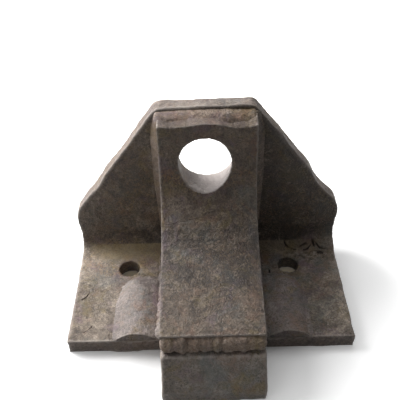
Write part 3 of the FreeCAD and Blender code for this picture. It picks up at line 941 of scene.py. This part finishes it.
def strap_line(depth, x):
    """Stations along the strap's line at a depth below its front face, for a run of weld."""
    knee_z = PLATE + KNEE_RISE
    half_turn = (math.pi / 2 - STRAP_LEAN - STRAP_SLOPE) / 2
    tangent = STRAP_BEND * math.tan(half_turn)
    knee_y = strap_front_at(knee_z)
    centre_y = knee_y + tangent * math.sin(STRAP_LEAN) - STRAP_BEND * math.cos(STRAP_LEAN)
    centre_z = knee_z + tangent * math.cos(STRAP_LEAN) + STRAP_BEND * math.sin(STRAP_LEAN)
    reach = STRAP_BEND + depth
    stations = []
    for tenth in range(2, 11):       # tenths of the bend: the run starts a little below its top
        turn = STRAP_LEAN + 2 * half_turn * tenth / 10
        stations.append((x, centre_y + reach * math.cos(turn), centre_z - reach * math.sin(turn)))
    end_y = strap_lo.y + 12 * MM
    last = stations[-1]
    stations.append((x, end_y, last[2] - (last[1] - end_y) * math.tan(STRAP_SLOPE)))
    return stations


wing_plate()
nose_strap()
for _, word in SIDES:
    cheek(word)
tooth_point()
for side, word in SIDES:
    rib(side, word)
for seed, (side, word) in enumerate(SIDES, start=10):
    nose_side_welds(side, word, seed)
nose_cross_welds()


# ------------------------------------------------------- floor, light, camera

def pale_floor():
    """White acrylic light table that glows from inside, dim under and around the part, a painted
    contact shadow, and bright away from it; its glow lights nothing else. Dry soil under the base
    shows through the bolt holes."""
    floor = new_piece("floor", bpy.ops.mesh.primitive_plane_add, size=6, location=(0, 0, 0))
    material = bpy.data.materials.new("glowing_floor_painted_shadow")
    material.use_nodes = True
    tree = material.node_tree
    shader = tree.nodes["Principled BSDF"]
    where = add(tree, "ShaderNodeTexCoord").outputs["Object"]
    away = add(tree, "ShaderNodeVectorMath", [(0, where)], operation="LENGTH").outputs["Value"]
    # the floor's glow: dim under the part and rising away from it, a painted contact shadow
    glow_and_painted_shadow = add(
        tree, "ShaderNodeMapRange", [("Value", away)],
        in_From_Min=0.11, in_From_Max=0.24, in_To_Min=0.04, in_To_Max=0.6,
    ).outputs[0]
    soil_x, soil_y = 120 * MM, 45 * MM
    in_soil = add(
        tree, "ShaderNodeVectorMath", [(0, where)], operation="MULTIPLY",
        in_1=(1 / soil_x, 1 / soil_y, 0),
    ).outputs[0]
    to_rim = add(tree, "ShaderNodeVectorMath", [(0, in_soil)], operation="LENGTH").outputs["Value"]
    soiled = add(
        tree, "ShaderNodeMapRange", [("Value", to_rim)],
        in_From_Min=0.85, in_From_Max=1.0, in_To_Min=1.0, in_To_Max=0.0,
    ).outputs[0]
    colour = add(
        tree, "ShaderNodeMix", [("Factor", soiled)], data_type="RGBA",
        in_6=linear("#f4f4f4"), in_7=linear("#b09a6c"),
    ).outputs[2]
    tree.links.new(colour, shader.inputs["Base Color"])
    tree.links.new(glow_and_painted_shadow, shader.inputs["Emission Strength"])
    shader.inputs["Emission Color"].default_value = (1, 1, 1, 1)
    shader.inputs["Roughness"].default_value = 0.9
    floor.data.materials.append(material)
    # the floor's glow and colour light nothing else
    floor.visible_diffuse = False


def soft_light(name, place, size, power, target=(0, 0, 0.06)):
    lamp = bpy.data.objects.new(name, bpy.data.lights.new(name, "AREA"))
    bpy.context.scene.collection.objects.link(lamp)
    lamp.data.shape = "DISK"
    lamp.data.size = size
    lamp.data.energy = power
    lamp.location = place
    lamp.rotation_mode = "QUATERNION"
    lamp.rotation_quaternion = (Vector(target) - Vector(place)).to_track_quat("-Z", "Y")


def studio():
    pale_floor()
    world = bpy.data.worlds.new("studio")
    world.use_nodes = True
    air = world.node_tree.nodes["Background"]
    air.inputs["Color"].default_value = (1, 1, 1, 1)
    air.inputs["Strength"].default_value = 0.08
    bpy.context.scene.world = world
    soft_light("key_behind_left", (-1.0, 0.6, 0.92), 1.0, 36)
    soft_light("overhead_box", (0.0, 0.4, 1.3), 1.0, 5.5)
    soft_light("low_back_box", (0.1, 1.1, 0.35), 0.7, 7, target=(0, 0, 0.14))
    soft_light("fill_front_left", (-1.0, -0.8, 0.7), 0.9, 2.6)


def camera():
    """Stands in front of the nose, a little over arm's length away, looking down at it."""
    stand = Vector((-1.3, -455.0, 505.9)) * MM
    pitch, yaw, roll = math.radians(40.88), math.radians(-0.71), math.radians(-1.98)
    ahead = Vector((math.sin(yaw) * math.cos(pitch), math.cos(yaw) * math.cos(pitch), -math.sin(pitch)))
    level = Vector((math.cos(yaw), -math.sin(yaw), 0))
    above = level.cross(ahead)
    right = level * math.cos(roll) + above * math.sin(roll)
    upward = above * math.cos(roll) - level * math.sin(roll)
    data = bpy.data.cameras.new("camera")
    data.lens = 54.9
    eye = bpy.data.objects.new("camera", data)
    bpy.context.scene.collection.objects.link(eye)
    turn = Matrix((right, upward, -ahead)).transposed().to_4x4()
    eye.matrix_world = Matrix.Translation(stand) @ turn
    bpy.context.scene.camera = eye


studio()
camera()
bpy.context.scene.view_settings.view_transform = "Standard"
